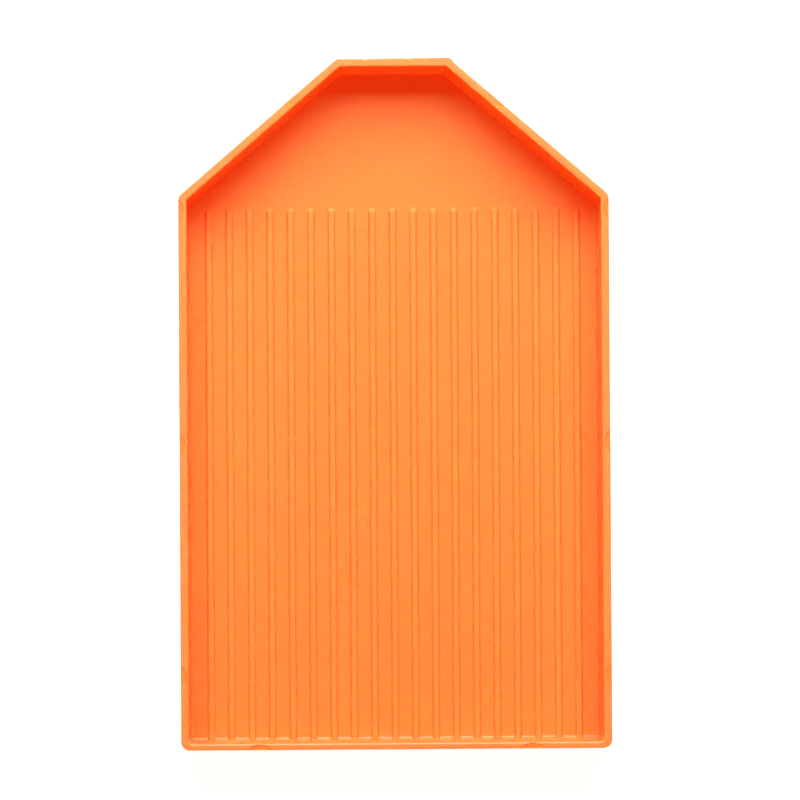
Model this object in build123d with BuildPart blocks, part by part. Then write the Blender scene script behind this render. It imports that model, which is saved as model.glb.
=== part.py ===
from build123d import *
import os

# A shallow open sorting tray, moulded in one shot from thin plastic. In plan it is a long rectangle
# whose far end tapers to a short flat nose. Straight ribs stand on the floor, side by side along the
# length of the tray. The base rests on z = 0, with the origin in the middle of the tray's plan.
# +Y points to the nose.

# Driving dimensions, in millimetres and degrees.
overall_length = 147.5
overall_width = 92.0
overall_height = 15.0
straight_length = 118.2  # from the square end to the shoulders, where the taper starts
nose_width = 24.0
wall_thickness = 1.75  # at the rim
square_end_wall = 1.4  # the square end's wall is a little thinner
floor_thickness = 1.6

outer_draft = 1.5
inner_draft = 1.75
outer_corner_radius = 1.8
inner_corner_radius = 0.9
nose_corner_radius = 0.45
floor_fillet = 0.55
rim_inner_round = 0.4
rim_outer_round = 0.2
base_round = 0.8

rib_count = 19
rib_pitch = 4.4
rib_foot_width = 1.66
rib_height = 0.7
rib_draft = 25.0
rib_crest_round = 0.35
rib_ramp_length = 0.8  # the end near the shoulders slopes up to the crest over this length
rib_end_to_shoulder = 2.0  # gap between the rounded rib ends and the line of the shoulders
rib_root_depth = 0.9  # how far the ribs are sunk into the square end's wall

pin_radius = 3.0  # moulding ejector pins, which overlap the rim and leave shallow flats on it
pin_overlap = 1.1
pin_mark_depth = 0.2
pin_rows_from_square_end = (15.6, 65.3, 115.0)
pin_column_offset = 29.15
pin_from_nose_corner = 13.5

gate_recess_radius = 4.0
gate_recess_depth = 0.4
gate_stub_radius = 0.9
gate_stub_height = 0.25

# Derived places.
half_width = overall_width / 2
half_nose = nose_width / 2
square_end_y = -overall_length / 2
nose_y = overall_length / 2
shoulder_y = square_end_y + straight_length
cavity_depth = overall_height - floor_thickness
rib_start = square_end_y + rib_root_depth
rib_end = shoulder_y - rib_end_to_shoulder
pin_standoff = pin_radius - pin_overlap  # from the rim's outer edge out to a pin's axis

# Where the ejector pins' axes meet the top of the rim.
slant = (Vector(half_width, shoulder_y) - Vector(half_nose, nose_y)).normalized()
slant_pin = (
    Vector(half_nose, nose_y)
    + slant * pin_from_nose_corner
    + Vector(-slant.Y, slant.X) * pin_standoff
)
pin_places = []
for side in (-1, 1):
    pin_places.append(Vector(side * slant_pin.X, slant_pin.Y, overall_height))
    pin_y = square_end_y - pin_standoff
    pin_places.append(Vector(side * pin_column_offset, pin_y, overall_height))
    for distance in pin_rows_from_square_end:
        pin_x = side * (half_width + pin_standoff)
        pin_places.append(Vector(pin_x, square_end_y + distance, overall_height))


def sharp_plan(end_y):
    """The tray's plan with sharp corners and its square end at end_y."""
    with BuildSketch() as plan:
        with BuildLine():
            Polyline(
                (0, end_y),
                (half_width, end_y),
                (half_width, shoulder_y),
                (half_nose, nose_y),
                (0, nose_y),
            )
            mirror(about=Plane.YZ)
        make_face()
    return plan.sketch


# One rib: a drafted bar with half-round ends and a rounded crest, standing on its foot at z = 0.
# Its far end is a ramp.
with BuildPart() as rib:
    with BuildSketch() as rib_foot:
        SlotOverall(rib_end - rib_start, rib_foot_width, rotation=90)
    extrude(amount=rib_height, taper=rib_draft)
    crest = rib.faces().sort_by(Axis.Z)[-1]
    fillet(crest.edges(), radius=rib_crest_round)
    with BuildSketch(Plane.YZ) as ramp:
        with BuildLine():
            rib_tip = (rib_end - rib_start) / 2
            Polyline(
                (rib_tip, 0),
                (rib_tip, 2 * rib_height),
                (rib_tip - 2 * rib_ramp_length, 2 * rib_height),
                close=True,
            )
        make_face()
    extrude(amount=rib_foot_width, both=True, mode=Mode.SUBTRACT)

with BuildPart() as tray:
    # Outer skin, which narrows towards the base so that the tray leaves its mould.
    with BuildSketch(Plane.XY.offset(overall_height)) as rim:
        add(sharp_plan(square_end_y))
        nose_corners = rim.vertices().group_by(Axis.Y)[-1]
        fillet(rim.vertices() - nose_corners, radius=outer_corner_radius)
        fillet(rim.vertices().group_by(Axis.Y)[-1], radius=nose_corner_radius)
    extrude(amount=-overall_height, taper=outer_draft)

    # Hollow, which narrows a little more than the outside does.
    with BuildSketch(Plane.XY.offset(overall_height)) as mouth:
        add(sharp_plan(square_end_y - wall_thickness + square_end_wall))
        offset(amount=-wall_thickness, kind=Kind.INTERSECTION)
        nose_corners = mouth.vertices().group_by(Axis.Y)[-1]
        fillet(mouth.vertices() - nose_corners, radius=inner_corner_radius)
        fillet(mouth.vertices().group_by(Axis.Y)[-1], radius=nose_corner_radius)
    extrude(amount=-cavity_depth, taper=inner_draft, mode=Mode.SUBTRACT)

    floor = tray.faces().filter_by(Plane.XY).sort_by(Axis.Z)[1]
    fillet(floor.edges(), radius=floor_fillet)

    # Ribs, which run from the square end's wall to just short of the shoulders.
    with Locations((0, (rib_start + rib_end) / 2, floor_thickness)):
        with GridLocations(rib_pitch, 1, rib_count, 1):
            add(rib.part)

    # Rounded edges of the base and of the rim.
    base = tray.faces().filter_by(Plane.XY).sort_by(Axis.Z)[0]
    fillet(base.edges(), radius=base_round)
    rim_top = tray.faces().filter_by(Plane.XY).sort_by(Axis.Z)[-1]
    fillet(rim_top.inner_wires().edges(), radius=rim_inner_round)
    rim_top = tray.faces().filter_by(Plane.XY).sort_by(Axis.Z)[-1]
    fillet(rim_top.outer_wire().edges(), radius=rim_outer_round)

    # Ejector pin marks: ten round pins catch the rim from outside, and each leaves a shallow flat
    # with flared sides in it.
    with Locations(pin_places):
        Cone(pin_radius, pin_radius + 2 * pin_mark_depth, 2 * pin_mark_depth, mode=Mode.SUBTRACT)

    # Moulding gate in the middle of the underside: a shallow round recess around the stub of the
    # cut runner.
    with BuildSketch() as gate_recess:
        Circle(gate_recess_radius)
        Circle(gate_stub_radius, mode=Mode.SUBTRACT)
    extrude(amount=gate_recess_depth, mode=Mode.SUBTRACT)
    with BuildSketch() as gate_stub:
        Circle(gate_stub_radius)
    extrude(amount=gate_recess_depth - gate_stub_height, mode=Mode.SUBTRACT)

tray.part.label = "tray"
os.makedirs("parts", exist_ok=True)
export_step(tray.part, "parts/tray.step")
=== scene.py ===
import bpy
import bmesh
import math
from mathutils import Matrix, Vector, noise


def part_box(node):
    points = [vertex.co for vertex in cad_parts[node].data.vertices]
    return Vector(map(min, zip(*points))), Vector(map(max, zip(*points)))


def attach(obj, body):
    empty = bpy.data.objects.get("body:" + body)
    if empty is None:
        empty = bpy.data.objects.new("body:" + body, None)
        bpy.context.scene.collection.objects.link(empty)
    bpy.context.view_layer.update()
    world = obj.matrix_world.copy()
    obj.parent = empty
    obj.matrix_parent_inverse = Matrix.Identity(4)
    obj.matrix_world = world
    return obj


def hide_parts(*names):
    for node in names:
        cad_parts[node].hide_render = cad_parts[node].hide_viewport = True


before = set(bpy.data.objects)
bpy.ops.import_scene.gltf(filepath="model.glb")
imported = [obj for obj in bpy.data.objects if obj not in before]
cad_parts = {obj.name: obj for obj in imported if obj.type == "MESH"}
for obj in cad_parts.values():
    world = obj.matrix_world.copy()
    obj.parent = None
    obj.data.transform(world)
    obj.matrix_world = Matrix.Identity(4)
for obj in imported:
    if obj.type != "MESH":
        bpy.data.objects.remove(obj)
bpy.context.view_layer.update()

# One moulded tray. Its skin is swept round the rim's plan here, with the ribs, pin flats and gate
# worked in, so that edges are rounded with even quads and the rim can carry the small burrs and nicks
# of a real moulding.

MM = 0.001

# Plan and section, in millimetres and degrees, on the same driving dimensions as the CAD model.
STRAIGHT_LENGTH = 118.2
NOSE_WIDTH = 24.0
WALL = 1.75
SQUARE_END_WALL = 1.4
FLOOR = 1.6
OUTER_DRAFT = math.radians(1.5)
INNER_DRAFT = math.radians(1.75)
BASE_ROUND = 0.8
RIM_OUTER_ROUND = 0.2
RIM_INNER_ROUND = 0.4
FLOOR_FILLET = 0.55
ROUND_STEPS = 6
WALL_STEPS = 7
RIM_STEPS = 3
# Where the middle of the rim starts and ends, as shares of the wall's thickness. The square end's
# thinner wall is made up for within it, and past its end the skin stays true.
RIM_MIDDLE = (0.25, 0.75)

# How far the skin strays, in millimetres, and how many times a millimetre each noise repeats.
WAVER = 0.035
WAVER_FREQUENCY = 0.06
BURR = 0.03
BURR_FREQUENCY = 0.9
BURR_REACH = 0.7
FLASH_WAVER = 0.06
FLASH_FREQUENCY = 1.3

# Flash at the two ends of the nose, and nicks in it as middle, half span and depth.
NOSE_FLASH = (-0.08, 0.22)
NOSE_NICKS = ((-5.9, 0.9, 0.24), (3.1, 0.9, 0.08))

# Plan radii of the corners, outside and inside the wall.
SQUARE_CORNER = (1.8, 0.9)
NOSE_CORNER = (0.45, 0.4)
SMALLEST_CORNER = 0.12
CORNER_STEPS = 8
STATION_STEP = 0.5

RIB_COUNT = 19
RIB_PITCH = 4.4
RIB_FOOT = 1.66
RIB_HEIGHT = 0.7
RIB_DRAFT = math.radians(25.0)
RIB_CREST_ROUND = 0.35
RIB_RAMP = 0.8
RIB_END_TO_SHOULDER = 2.0
RIB_ROOT = 0.9
RIB_SUNK = 0.7

PIN_RADIUS = 3.0
PIN_OVERLAP = 1.1
PIN_DEPTH = 0.2
PIN_ROWS = (15.6, 65.3, 115.0)
PIN_COLUMN = 29.15
PIN_FROM_NOSE = 13.5
PIN_SIDES = 96

GATE_RADIUS = 4.0
GATE_DEPTH = 0.4
GATE_STUB_RADIUS = 0.9
GATE_STUB_FACE = 0.15
GATE_SIDES = 64

# Edges sharper than this are shaded as edges.
SHARP_EDGE = math.radians(28)

low, high = (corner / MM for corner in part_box("tray"))
height = high.z - low.z
# The rim's sharp outline stands proud of the rounded box by what the outer round takes off the
# drafted wall.
proud = RIM_OUTER_ROUND * math.tan(OUTER_DRAFT)
half_width = high.x + proud
square_end = low.y - proud
nose_end = high.y + proud
shoulder = square_end + STRAIGHT_LENGTH
half_nose = NOSE_WIDTH / 2

# Corners of the rim's plan, counter-clockwise seen from above, each with its outside and inside radius.
PLAN = [
    (Vector((-half_width, square_end)), SQUARE_CORNER),
    (Vector((half_width, square_end)), SQUARE_CORNER),
    (Vector((half_width, shoulder)), SQUARE_CORNER),
    (Vector((half_nose, nose_end)), NOSE_CORNER),
    (Vector((-half_nose, nose_end)), NOSE_CORNER),
    (Vector((-half_width, shoulder)), SQUARE_CORNER),
]


def lerp(a, b, t):
    return a + (b - a) * t


def smooth_step(x, low_edge, high_edge):
    t = max(0.0, min(1.0, (x - low_edge) / (high_edge - low_edge)))
    return t * t * (3 - 2 * t)


def perpendicular(v):
    """The vector turned a quarter turn clockwise: the outward normal of a counter-clockwise outline."""
    return Vector((v.y, -v.x))


def edge_directions():
    corners = [corner for corner, _ in PLAN]
    following = corners[1:] + corners[:1]
    return [(end - start).normalized() for start, end in zip(corners, following)]


EDGES = edge_directions()


def corner_radius(radii, inset):
    outside, inside = radii
    if inset <= WALL:
        return lerp(outside, inside, max(inset, 0) / WALL)
    return max(inside - (inset - WALL), SMALLEST_CORNER)


def plan_ring(inset):
    """Points round the plan, moved in from the rim's outline, as many of them at every inset."""
    arcs = []
    for i, (corner, radii) in enumerate(PLAN):
        before, after = EDGES[i - 1], EDGES[i]
        turn = before.angle(after)
        mitre = inset / math.cos(turn / 2)
        inward = -(perpendicular(before) + perpendicular(after)).normalized()
        tip = corner + inward * mitre
        if corner.y < 0:
            # The square end's wall is thinner, so the inner rings reach further out there.
            moved = smooth_step(inset, RIM_MIDDLE[0] * WALL, RIM_MIDDLE[1] * WALL)
            tip.y -= (WALL - SQUARE_END_WALL) * moved
        radius = corner_radius(radii, inset)
        centre = tip + inward * (radius / math.cos(turn / 2))
        arc = []
        for step in range(CORNER_STEPS + 1):
            angle = turn * step / CORNER_STEPS
            arm = Matrix.Rotation(angle, 2) @ perpendicular(before)
            arc.append(centre + arm * radius)
        arcs.append(arc)
    points = []
    for i, arc in enumerate(arcs):
        points += arc
        start, end = arc[-1], arcs[(i + 1) % len(arcs)][0]
        corner, next_corner = PLAN[i][0], PLAN[(i + 1) % len(PLAN)][0]
        steps = round((next_corner - corner).length / STATION_STEP)
        points += [start.lerp(end, step / steps) for step in range(1, steps)]
    return points


def arc_points(centre, radius, start, end):
    """Section points on a round, as (inset, z). Angle 0 points out of the tray and 90 degrees points up."""
    points = []
    for step in range(ROUND_STEPS + 1):
        angle = lerp(start, end, step / ROUND_STEPS)
        points.append((centre[0] - radius * math.cos(angle), centre[1] + radius * math.sin(angle)))
    return points


def outer_wall(z):
    return (height - z) * math.tan(OUTER_DRAFT)


def inner_wall(z):
    return WALL + (height - z) * math.tan(INNER_DRAFT)


def between(a, b, count):
    """Evenly spaced section points strictly between two others."""
    shares = [i / (count + 1) for i in range(1, count + 1)]
    return [(lerp(a[0], b[0], share), lerp(a[1], b[1], share)) for share in shares]


def wall_section():
    """The wall's section from the underside, up the outside, over the rim and down to the floor."""
    quarter = math.pi / 2
    base_centre = (outer_wall(BASE_ROUND) + BASE_ROUND / math.cos(OUTER_DRAFT), BASE_ROUND)
    base = arc_points(base_centre, BASE_ROUND, -quarter, -OUTER_DRAFT)
    z = height - RIM_OUTER_ROUND
    outer_centre = (outer_wall(z) + RIM_OUTER_ROUND / math.cos(OUTER_DRAFT), z)
    outer = arc_points(outer_centre, RIM_OUTER_ROUND, -OUTER_DRAFT, quarter)
    z = height - RIM_INNER_ROUND
    inner_centre = (inner_wall(z) - RIM_INNER_ROUND / math.cos(INNER_DRAFT), z)
    inner = arc_points(inner_centre, RIM_INNER_ROUND, quarter, 2 * quarter - INNER_DRAFT)
    z = FLOOR + FLOOR_FILLET
    root_centre = (inner_wall(z) + FLOOR_FILLET / math.cos(INNER_DRAFT), z)
    root = arc_points(root_centre, FLOOR_FILLET, -INNER_DRAFT, -quarter)
    return (
        base + between(base[-1], outer[0], WALL_STEPS)
        + outer + between(outer[-1], inner[0], RIM_STEPS)
        + inner + between(inner[-1], root[0], WALL_STEPS)
        + root
    )


def dip(x, middle, half_span):
    """A smooth bump of height 1 that falls to 0 at half_span on either side of the middle."""
    return smooth_step(half_span - abs(x - middle), 0.0, half_span)


def rim_waver(point, z):
    """How far the skin strays outwards at a place: a faint waver, burrs, and the worn nose."""
    waver = WAVER * noise.noise(Vector((point.x, point.y, z)) * WAVER_FREQUENCY)
    top = max(0.0, 1 - (height - z) / BURR_REACH)
    burr = BURR * noise.noise(Vector((point.x * BURR_FREQUENCY, point.y * BURR_FREQUENCY, 7.0)))
    on_nose = smooth_step(point.y, nose_end - 1.0, nose_end - 0.4)
    # The parting line's flash grows towards the +X side of the nose, and two small nicks break it.
    across = (point.x + half_nose) / NOSE_WIDTH
    flash = lerp(NOSE_FLASH[0], NOSE_FLASH[1], across)
    flash += FLASH_WAVER * noise.noise(Vector((point.x * FLASH_FREQUENCY, 0.0, 3.0)))
    flash -= sum(depth * dip(point.x, middle, span) for middle, span, depth in NOSE_NICKS)
    return waver + top * (burr + on_nose * flash)


def wall_shell():
    """The tray without its ribs, as one closed skin."""
    mesh = bmesh.new()
    rows = []
    for inset, z in wall_section():
        ring = plan_ring(inset)
        row = []
        for i, point in enumerate(ring):
            tangent = (ring[(i + 1) % len(ring)] - ring[i - 1]).normalized()
            moved = point
            if inset < RIM_MIDDLE[1] * WALL:
                moved = point + perpendicular(tangent) * rim_waver(point, z)
            row.append(mesh.verts.new((moved.x, moved.y, z)))
        rows.append(row)
    for lower, upper in zip(rows, rows[1:]):
        for i in range(len(lower)):
            mesh.faces.new((lower[i - 1], lower[i], upper[i], upper[i - 1]))
    mesh.faces.new(reversed(rows[0]))
    mesh.faces.new(rows[-1])
    return mesh


def slot_ring(half, y_start, y_end, steps=8):
    """A slot outline along Y, counter-clockwise, with its round ends centred on the two y values."""
    points = []
    for y, first in ((y_end, 0.0), (y_start, math.pi)):
        for step in range(2 * steps + 1):
            angle = first + math.pi * step / (2 * steps)
            points.append(Vector((half * math.cos(angle), y + half * math.sin(angle))))
    return points


def rib_section():
    """Half widths and heights of a rib from its hidden foot to its crest."""
    slope = math.tan(RIB_DRAFT)
    foot = RIB_FOOT / 2
    # The crest's round touches the drafted side and the flat crest.
    bend = math.pi / 2 - RIB_DRAFT
    reach = RIB_CREST_ROUND * math.tan(bend / 2)
    corner = foot - RIB_HEIGHT * slope
    centre = (corner - reach, RIB_HEIGHT - RIB_CREST_ROUND)
    points = [(foot + RIB_SUNK * slope, -RIB_SUNK), (foot, 0.0)]
    for step in range(ROUND_STEPS + 1):
        angle = RIB_DRAFT + bend * step / ROUND_STEPS
        half = centre[0] + RIB_CREST_ROUND * math.cos(angle)
        points.append((half, centre[1] + RIB_CREST_ROUND * math.sin(angle)))
    return points


def ribs():
    """All the ribs, as separate closed bars."""
    mesh = bmesh.new()
    y_start = square_end + RIB_ROOT + RIB_FOOT / 2
    y_end = shoulder - RIB_END_TO_SHOULDER - RIB_FOOT / 2
    for number in range(RIB_COUNT):
        x = (number - (RIB_COUNT - 1) / 2) * RIB_PITCH
        rows = []
        for half, z in rib_section():
            # The far end slopes back as the rib rises, which makes the ramp at its tip.
            slope_back = max(z, 0) * (RIB_RAMP / RIB_HEIGHT) - (RIB_FOOT / 2 - half)
            ring = slot_ring(half, y_start, y_end - max(slope_back, 0))
            rows.append([mesh.verts.new((x + p.x, p.y, FLOOR + z)) for p in ring])
        for lower, upper in zip(rows, rows[1:]):
            for i in range(len(lower)):
                mesh.faces.new((lower[i - 1], lower[i], upper[i], upper[i - 1]))
        mesh.faces.new(reversed(rows[0]))
        mesh.faces.new(rows[-1])
    return mesh


def lathe(mesh, x, y, profile, steps):
    """A closed solid of revolution about the vertical through x, y. The profile's ends lie on the axis."""
    rings = []
    for radius, z in profile:
        if radius == 0:
            rings.append([mesh.verts.new((x, y, z))])
            continue
        ring = []
        for i in range(steps):
            angle = 2 * math.pi * i / steps
            place = (x + radius * math.cos(angle), y + radius * math.sin(angle), z)
            ring.append(mesh.verts.new(place))
        rings.append(ring)
    for lower, upper in zip(rings, rings[1:]):
        for i in range(steps):
            corners = [lower[i - 1 if len(lower) > 1 else 0], lower[i if len(lower) > 1 else 0]]
            corners += [upper[i if len(upper) > 1 else 0], upper[i - 1 if len(upper) > 1 else 0]]
            mesh.faces.new(list(dict.fromkeys(corners)))


def cutters():
    """Ejector pins that catch the rim from outside, and the gate's recess under the floor."""
    mesh = bmesh.new()
    standoff = PIN_RADIUS - PIN_OVERLAP
    shoulder_corner, nose_corner = PLAN[2][0], PLAN[3][0]
    slant = (shoulder_corner - nose_corner).normalized()
    on_slant = nose_corner + slant * PIN_FROM_NOSE - perpendicular(slant) * standoff
    places = [(on_slant.x, on_slant.y), (PIN_COLUMN, square_end - standoff)]
    places += [(half_width + standoff, square_end + row) for row in PIN_ROWS]
    # The marks' sides flare at 45 degrees.
    bottom, top = height - PIN_DEPTH, height + PIN_DEPTH
    pin = [(0, bottom), (PIN_RADIUS, bottom), (PIN_RADIUS + 2 * PIN_DEPTH, top), (0, top)]
    for x, y in places:
        lathe(mesh, x, y, pin, PIN_SIDES)
        lathe(mesh, -x, y, pin, PIN_SIDES)
    below = -1
    recess = [
        (0, below),
        (GATE_RADIUS, below),
        (GATE_RADIUS, GATE_DEPTH),
        (GATE_STUB_RADIUS, GATE_DEPTH),
        (GATE_STUB_RADIUS, GATE_STUB_FACE),
        (0, GATE_STUB_FACE),
    ]
    lathe(mesh, 0, 0, recess, GATE_SIDES)
    return mesh


def to_object(name, mesh):
    """A bmesh in millimetres, as an object in metres."""
    bmesh.ops.recalc_face_normals(mesh, faces=mesh.faces)
    mesh.transform(Matrix.Scale(MM, 4))
    data = bpy.data.meshes.new(name)
    mesh.to_mesh(data)
    mesh.free()
    piece = bpy.data.objects.new(name, data)
    bpy.context.scene.collection.objects.link(piece)
    return piece


def boolean(piece, tool, operation):
    modifier = piece.modifiers.new(operation, "BOOLEAN")
    modifier.operation = operation
    modifier.solver = "EXACT"
    modifier.object = tool
    apply_modifiers(piece)
    bpy.data.objects.remove(tool)


def apply_modifiers(piece):
    depsgraph = bpy.context.evaluated_depsgraph_get()
    result = bpy.data.meshes.new_from_object(piece.evaluated_get(depsgraph))
    piece.modifiers.clear()
    piece.data = result


tray = to_object("tray_moulding", wall_shell())
boolean(tray, to_object("rib_bars", ribs()), "UNION")
boolean(tray, to_object("pins_and_gate", cutters()), "DIFFERENCE")
tray.data.shade_smooth()
tray.data.set_sharp_from_angle(angle=SHARP_EDGE)
tray.modifiers.new("normals", "WEIGHTED_NORMAL").keep_sharp = True
apply_modifiers(tray)


# Materials. Colours are linear. Textures run in object space, in metres, so they sit on the piece,
# and how often each repeats is given per metre.

PLASTIC_COLOUR = (1.0, 0.25, 0.051)
# The next two colours are painted highlight: paler orange for the rim's top and the ribs' crests where they
# face upwards.
PLASTIC_RIM_PAINTED_HIGHLIGHT = (1.0, 0.268, 0.072)
PLASTIC_CREST_PAINTED_HIGHLIGHT = (1.0, 0.262, 0.055)
PLASTIC_DEEP = (0.97, 0.215, 0.038)
PLASTIC_ROUGHNESS = (0.25, 0.32)
CORNER_ROUGHENING = 0.25
PLASTIC_IOR = 1.49
SUBSURFACE_WEIGHT = 0.8
SUBSURFACE_RADIUS = (12.0, 0.35, 0.1)

CLOUDS = 22.0
SPECKLE = 1500.0
DULL_PATCHES = 60.0
SCUFFS = 400.0
SCUFF_STRETCH = (1.0, 0.06, 1.0)
GRAIN = 2600.0
GRAIN_STRENGTH = 0.3
GRAIN_HEIGHT = 0.00001

FLOOR_GREY = 0.35
FLOOR_GLOW = 0.92

KEY_ELEVATION = 45
KEY_DISTANCE = 0.65
KEY_SIZE = (0.6, 0.49)
KEY_POWER = 9.7
LOW_FILL_ELEVATION = 20
LOW_FILL_DISTANCE = 0.8
LOW_FILL_SIZE = (0.8, 0.3)
LOW_FILL_POWER = 1.25
FILL = 0.16
FILL_COLOUR = (1.0, 0.8, 0.25)


def node(tree, kind, **settings):
    """A shader node. A setting that names an input sets its value, and any other sets a property."""
    made = tree.nodes.new(kind)
    for name, value in settings.items():
        socket = made.inputs.get(name.replace("_", " ").title())
        if socket:
            socket.default_value = value
        else:
            setattr(made, name, value)
    return made


def ramp(tree, source, start, end):
    """A smooth 0 to 1 step of a value between start and end."""
    step = node(tree, "ShaderNodeMapRange", interpolation_type="SMOOTHSTEP", from_min=start, from_max=end)
    tree.links.new(source, step.inputs["Value"])
    return step.outputs["Result"]


def scaled(tree, source, low_value, high_value):
    """A 0 to 1 value spread linearly over another range."""
    spread = node(tree, "ShaderNodeMapRange", to_min=low_value, to_max=high_value)
    tree.links.new(source, spread.inputs["Value"])
    return spread.outputs["Result"]


def joined(tree, operation, a, b):
    both = node(tree, "ShaderNodeMath", operation=operation)
    tree.links.new(a, both.inputs[0])
    tree.links.new(b, both.inputs[1])
    return both.outputs["Value"]


def blended(tree, factor, first, second):
    """Two colours mixed by a factor. Each colour is either a socket or a fixed colour."""
    mix = node(tree, "ShaderNodeMix", data_type="RGBA")
    tree.links.new(factor, mix.inputs["Factor"])
    for name, colour in (("A", first), ("B", second)):
        socket = [s for s in mix.inputs if s.name == name and s.type == "RGBA"][0]
        if isinstance(colour, tuple):
            socket.default_value = (*colour, 1)
        else:
            tree.links.new(colour, socket)
    return [s for s in mix.outputs if s.type == "RGBA"][0]


def pattern(tree, place, scale, detail=2.0, roughness=0.5, stretch=None):
    """Noise in object space, from about 0.3 to 0.7. Stretch squeezes space first, for streaks."""
    noise_node = node(tree, "ShaderNodeTexNoise", scale=scale, detail=detail, roughness=roughness)
    if stretch:
        mapping = node(tree, "ShaderNodeMapping", scale=stretch)
        tree.links.new(place, mapping.inputs["Vector"])
        place = mapping.outputs["Vector"]
    tree.links.new(place, noise_node.inputs["Vector"])
    return noise_node.outputs["Fac"]


def orange_plastic():
    material = bpy.data.materials.new("orange_plastic")
    material.use_nodes = True
    tree = material.node_tree
    shader = tree.nodes["Principled BSDF"]
    shader.inputs["IOR"].default_value = PLASTIC_IOR
    shader.inputs["Subsurface Weight"].default_value = SUBSURFACE_WEIGHT
    shader.inputs["Subsurface Radius"].default_value = SUBSURFACE_RADIUS
    shader.inputs["Subsurface Scale"].default_value = MM

    place = node(tree, "ShaderNodeTexCoord").outputs["Object"]
    surface = node(tree, "ShaderNodeNewGeometry")
    split_place = node(tree, "ShaderNodeSeparateXYZ")
    tree.links.new(place, split_place.inputs["Vector"])
    split_normal = node(tree, "ShaderNodeSeparateXYZ")
    tree.links.new(surface.outputs["Normal"], split_normal.inputs["Vector"])

    # Painted highlight: the ribs' crests and the rim's top are painted paler where they face upwards and
    # stand above what lies around them.
    on_ribs = joined(
        tree, "MULTIPLY",
        ramp(tree, split_place.outputs["Z"], (FLOOR + 0.1) * MM, (FLOOR + 0.5) * MM),
        ramp(tree, split_place.outputs["Z"], (FLOOR + 2.0) * MM, (FLOOR + 1.5) * MM),
    )
    on_rim = ramp(tree, split_place.outputs["Z"], (height - 0.14) * MM, (height - 0.05) * MM)
    facing_up = ramp(tree, split_normal.outputs["Z"], 0.35, 0.9)

    # Melt flow leaves broad, very faint clouds of deeper colour, and the pigment a fine speckle.
    clouds = scaled(tree, pattern(tree, place, CLOUDS, detail=2.0), 0.0, 0.4)
    speckle = scaled(tree, pattern(tree, place, SPECKLE, detail=1.0), 0.0, 0.2)
    colour = blended(tree, joined(tree, "ADD", clouds, speckle), PLASTIC_COLOUR, PLASTIC_DEEP)
    # Painted highlight on the upward faces of the ribs' crests, then of the rim's top.
    colour = blended(tree, joined(tree, "MULTIPLY", on_ribs, facing_up), colour, PLASTIC_CREST_PAINTED_HIGHLIGHT)
    colour = blended(tree, joined(tree, "MULTIPLY", on_rim, facing_up), colour, PLASTIC_RIM_PAINTED_HIGHLIGHT)
    tree.links.new(colour, shader.inputs["Base Color"])

    # Handling leaves duller patches and hairline scuffs that run mostly along the tray.
    patches = pattern(tree, place, DULL_PATCHES, detail=3.0)
    streaks = pattern(tree, place, SCUFFS, detail=3.0, stretch=SCUFF_STRETCH)
    scuffs = joined(tree, "MULTIPLY", ramp(tree, streaks, 0.64, 0.74), facing_up)
    dull = joined(tree, "MAXIMUM", patches, scuffs)
    roughness = scaled(tree, dull, *PLASTIC_ROUGHNESS)
    # The mould is less well polished in its corners, which dulls the fillet round the floor.
    on_fillet = joined(
        tree, "MULTIPLY",
        ramp(tree, split_place.outputs["Z"], (FLOOR + 0.35) * MM, (FLOOR + 0.2) * MM),
        joined(
            tree, "MULTIPLY",
            ramp(tree, split_normal.outputs["Z"], 0.97, 0.85),
            ramp(tree, split_normal.outputs["Z"], 0.05, 0.25),
        ),
    )
    roughness = joined(tree, "ADD", roughness, scaled(tree, on_fillet, 0.0, CORNER_ROUGHENING))
    tree.links.new(roughness, shader.inputs["Roughness"])

    # Mould texture: a very fine, shallow grain with the scuffs cut slightly into it.
    grain = pattern(tree, place, GRAIN, detail=1.0)
    relief = joined(tree, "SUBTRACT", grain, scaled(tree, scuffs, 0.0, 0.3))
    bump = node(tree, "ShaderNodeBump", strength=GRAIN_STRENGTH, distance=GRAIN_HEIGHT)
    tree.links.new(relief, bump.inputs["Height"])
    tree.links.new(bump.outputs["Normal"], shader.inputs["Normal"])
    return material


def floor_material():
    material = bpy.data.materials.new("pale_floor")
    material.use_nodes = True
    shader = material.node_tree.nodes["Principled BSDF"]
    shader.inputs["Base Color"].default_value = (FLOOR_GREY, FLOOR_GREY, FLOOR_GREY, 1)
    shader.inputs["Roughness"].default_value = 0.9
    shader.inputs["Specular IOR Level"].default_value = 0.1
    shader.inputs["Emission Color"].default_value = (1, 1, 1, 1)
    shader.inputs["Emission Strength"].default_value = FLOOR_GLOW
    return material


tray.data.materials.clear()
tray.data.materials.append(orange_plastic())
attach(tray, "root")
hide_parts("tray")


# Stage.

def make_floor():
    mesh = bmesh.new()
    bmesh.ops.create_circle(mesh, cap_ends=True, radius=12.0, segments=96)
    data = bpy.data.meshes.new("floor")
    mesh.to_mesh(data)
    mesh.free()
    data.materials.append(floor_material())
    floor = bpy.data.objects.new("floor", data)
    floor.location.z = -0.02 * MM
    bpy.context.scene.collection.objects.link(floor)


def aimed(position, target, roll=0.0):
    """The rotation that points an object's -Z from position to target, top towards +Y, then rolled."""
    back = (position - target).normalized()
    right = Vector((0, 1, 0)).cross(back).normalized()
    turn = Matrix((right, back.cross(right), back)).transposed()
    return (turn @ Matrix.Rotation(roll, 3, "Z")).to_euler()


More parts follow.
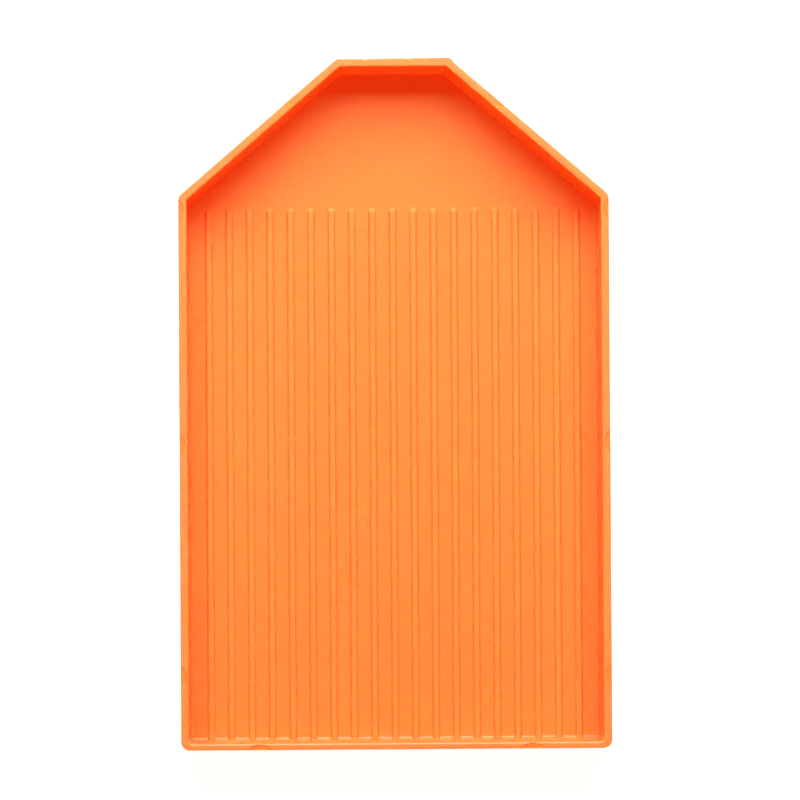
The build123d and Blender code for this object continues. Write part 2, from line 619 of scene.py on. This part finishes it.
def area_light(name, position, target, size, power, colour=(1, 1, 1)):
    data = bpy.data.lights.new(name, "AREA")
    data.shape = "RECTANGLE"
    data.size, data.size_y = size
    data.energy = power
    data.color = colour
    light = bpy.data.objects.new(name, data)
    light.location = position
    light.rotation_euler = aimed(position, target)
    light.visible_camera = False
    bpy.context.scene.collection.objects.link(light)


def make_world(strength):
    world = bpy.data.worlds.new("studio")
    world.use_nodes = True
    tree = world.node_tree
    fill = tree.nodes["Background"]
    fill.inputs["Color"].default_value = (*FILL_COLOUR, 1)
    fill.inputs["Strength"].default_value = strength
    # The camera sees a white studio behind the floor's far edge, which adds no light of its own.
    seen = node(tree, "ShaderNodeBackground", color=(1, 1, 1, 1), strength=0.96)
    choice = tree.nodes.new("ShaderNodeMixShader")
    tree.links.new(tree.nodes.new("ShaderNodeLightPath").outputs["Is Camera Ray"], choice.inputs["Fac"])
    tree.links.new(fill.outputs["Background"], choice.inputs[1])
    tree.links.new(seen.outputs["Background"], choice.inputs[2])
    tree.links.new(choice.outputs["Shader"], tree.nodes["World Output"].inputs["Surface"])
    bpy.context.scene.world = world


def make_camera():
    data = bpy.data.cameras.new("camera")
    data.sensor_width = 36.0
    data.lens = 292.14
    data.clip_start = 0.05
    data.clip_end = 60.0
    camera = bpy.data.objects.new("camera", data)
    position = Vector((-28.6, -22.0, 1400.0)) * MM
    target = Vector((1.1, 0.75, 15.0)) * MM
    camera.location = position
    camera.rotation_euler = aimed(position, target, math.radians(-0.35))
    bpy.context.scene.collection.objects.link(camera)
    bpy.context.scene.camera = camera


make_floor()
make_world(FILL)
up = math.radians(KEY_ELEVATION)
key_place = Vector((0, math.cos(up), math.sin(up))) * KEY_DISTANCE
area_light("key", key_place, Vector((0, 0, 0.01)), KEY_SIZE, KEY_POWER)
up = math.radians(LOW_FILL_ELEVATION)
low_fill_place = Vector((0, -math.cos(up), math.sin(up))) * LOW_FILL_DISTANCE
area_light("low_fill", low_fill_place, Vector((0, 0, 0.01)), LOW_FILL_SIZE, LOW_FILL_POWER, FILL_COLOUR)
make_camera()
bpy.context.scene.view_settings.view_transform = "Standard"
